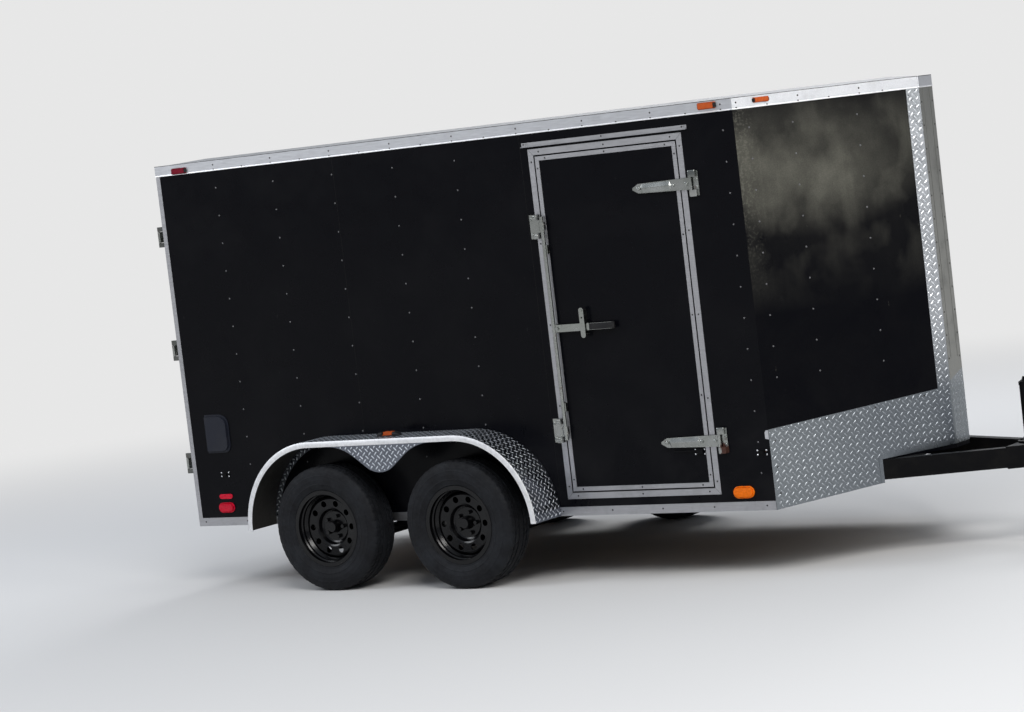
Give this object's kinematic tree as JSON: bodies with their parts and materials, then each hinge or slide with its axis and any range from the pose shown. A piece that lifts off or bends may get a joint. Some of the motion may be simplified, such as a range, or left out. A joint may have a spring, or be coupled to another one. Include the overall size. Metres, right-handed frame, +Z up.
{
  "type": "enclosed cargo trailer",
  "caption": "Enclosed V-nose cargo trailer with tandem wheels, tread-plate fenders, a side door with bar lock, rear barn doors and a tongue jack.",
  "frame": {"origin": "on the floor at the middle of the trailer's overall length and width", "axes": "+X forward to the coupler, +Y to the trailer's left, +Z up"},
  "size_m": [5.059, 2.34, 2.392],
  "materials": {
    "painted_skin": "gloss black skin, dusty and dented",
    "mill_aluminium": "dull mill aluminium trim",
    "tread_plate": "bright tread plate",
    "roof_sheet": "plain one-piece roof sheet",
    "frame_paint": "satin black chassis paint",
    "zinc_steel": "zinc-plated steel, dull",
    "wheel_paint": "black wheel enamel",
    "tyre_rubber": "worn black rubber",
    "plywood": "plain plywood",
    "grey_plastic": "dark blue-grey moulding",
    "amber_lens": "amber lens",
    "red_lens": "red lens"
  },
  "bodies": {
    "chassis": {"frame_rails": "frame_paint", "frame_cross": "frame_paint", "nose_frame": "frame_paint", "wall_brackets": "frame_paint", "tongue_arms": "frame_paint", "coupler": "frame_paint", "jack_tube": "frame_paint", "jack_crank": "frame_paint", "floor_deck": "plywood", "side_wall_right": "painted_skin", "side_wall_left": "painted_skin", "nose_wall_right": "painted_skin", "nose_wall_left": "painted_skin", "nose_front": "painted_skin", "roof": "roof_sheet", "rear_frame": "frame_paint", "roof_trim": "mill_aluminium", "side_rails": "mill_aluminium", "stone_guard": "tread_plate", "nose_trim": "mill_aluminium", "door_frame": "mill_aluminium", "door_butts": "zinc_steel", "door_keepers": "zinc_steel", "rear_butts": "zinc_steel", "fender_right": "tread_plate", "fender_left": "tread_plate", "axle_front": "frame_paint", "axle_rear": "frame_paint", "springs": "frame_paint", "side_vents": "grey_plastic", "amber_lamps": "amber_lens", "red_lamps": "red_lens"},
    "wheel_rear_right": {"tyre_rear_right": "tyre_rubber", "rim_rear_right": "wheel_paint"},
    "wheel_rear_left": {"tyre_rear_left": "tyre_rubber", "rim_rear_left": "wheel_paint"},
    "wheel_front_right": {"tyre_front_right": "tyre_rubber", "rim_front_right": "wheel_paint"},
    "wheel_front_left": {"tyre_front_left": "tyre_rubber", "rim_front_left": "wheel_paint"},
    "side_door": {"side_door": "painted_skin", "side_door_straps": "zinc_steel", "side_door_lock": "zinc_steel", "door_holdback": "frame_paint"},
    "rear_door_right": {"rear_door_right": "painted_skin", "rear_door_right_lock": "zinc_steel"},
    "rear_door_left": {"rear_door_left": "painted_skin", "rear_door_left_lock": "zinc_steel"},
    "jack_leg": {"jack_leg": "zinc_steel"}
  },
  "joints": [
    {"name": "rear_right_roll", "type": "hinge", "parent": "chassis", "child": "wheel_rear_right", "pos_m": [-1.4145, -1.046, 0.34], "axis": [0, 1, 0], "continuous": true},
    {"name": "rear_left_roll", "type": "hinge", "parent": "chassis", "child": "wheel_rear_left", "pos_m": [-1.4145, 1.046, 0.34], "axis": [0, 1, 0], "continuous": true},
    {"name": "front_right_roll", "type": "hinge", "parent": "chassis", "child": "wheel_front_right", "pos_m": [-0.5345, -1.046, 0.34], "axis": [0, 1, 0], "continuous": true},
    {"name": "front_left_roll", "type": "hinge", "parent": "chassis", "child": "wheel_front_left", "pos_m": [-0.5345, 1.046, 0.34], "axis": [0, 1, 0], "continuous": true},
    {"name": "side_door_swing", "type": "hinge", "parent": "chassis", "child": "side_door", "pos_m": [0.9825, -0.941, 1.333], "axis": [0, 0, 1], "range_deg": [0, 180]},
    {"name": "rear_door_right_swing", "type": "hinge", "parent": "chassis", "child": "rear_door_right", "pos_m": [-2.5195, -0.913, 1.37], "axis": [0, 0, 1], "range_deg": [0, 220]},
    {"name": "rear_door_left_swing", "type": "hinge", "parent": "chassis", "child": "rear_door_left", "pos_m": [-2.5195, 0.913, 1.37], "axis": [0, 0, -1], "range_deg": [0, 220]},
    {"name": "jack_slide", "type": "slide", "parent": "chassis", "child": "jack_leg", "axis": [0, 0, 1], "range_m": [0, 0.24]}
  ]
}
